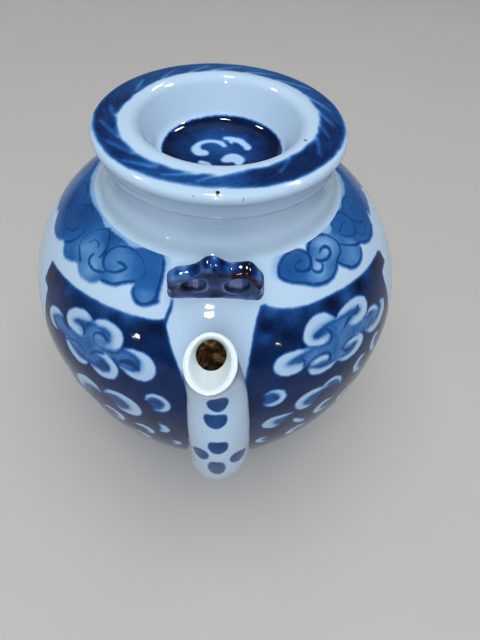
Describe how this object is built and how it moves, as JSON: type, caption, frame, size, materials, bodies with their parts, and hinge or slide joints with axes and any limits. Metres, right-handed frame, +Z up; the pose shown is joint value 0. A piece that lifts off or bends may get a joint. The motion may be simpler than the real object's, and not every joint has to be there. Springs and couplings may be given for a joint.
{
  "type": "teapot",
  "caption": "Round-bellied porcelain teapot with a sunken lift-off lid, an upright curved spout and double-eyed lugs for a bail handle.",
  "frame": {"origin": "centre of the foot ring's resting plane, on the pot's axis", "axes": "+Z up along the pot's axis; -Y towards the spout; +X to the right of someone who faces the spout"},
  "size_m": [0.116, 0.1314, 0.1104],
  "materials": {
    "painted_glaze": "cobalt brush painting under a clear bluish glaze",
    "white_glaze": "clear bluish-white glaze",
    "cobalt_glaze": "deep cobalt under a glossy glaze",
    "bare_porcelain": "unglazed fired porcelain"
  },
  "bodies": {
    "pot": {"lower_body": "painted_glaze", "upper_body": "painted_glaze", "neck_collar": "white_glaze", "foot_ring": "bare_porcelain", "spout": "white_glaze", "front_lug": "cobalt_glaze", "rear_lug": "cobalt_glaze"},
    "lid": {"lid_dish": "painted_glaze", "lid_flange": "bare_porcelain"}
  },
  "joints": [
    {"name": "lid_lift", "type": "slide", "parent": "pot", "child": "lid", "axis": [0, 0, 1], "range_m": [0, 0.06]}
  ]
}
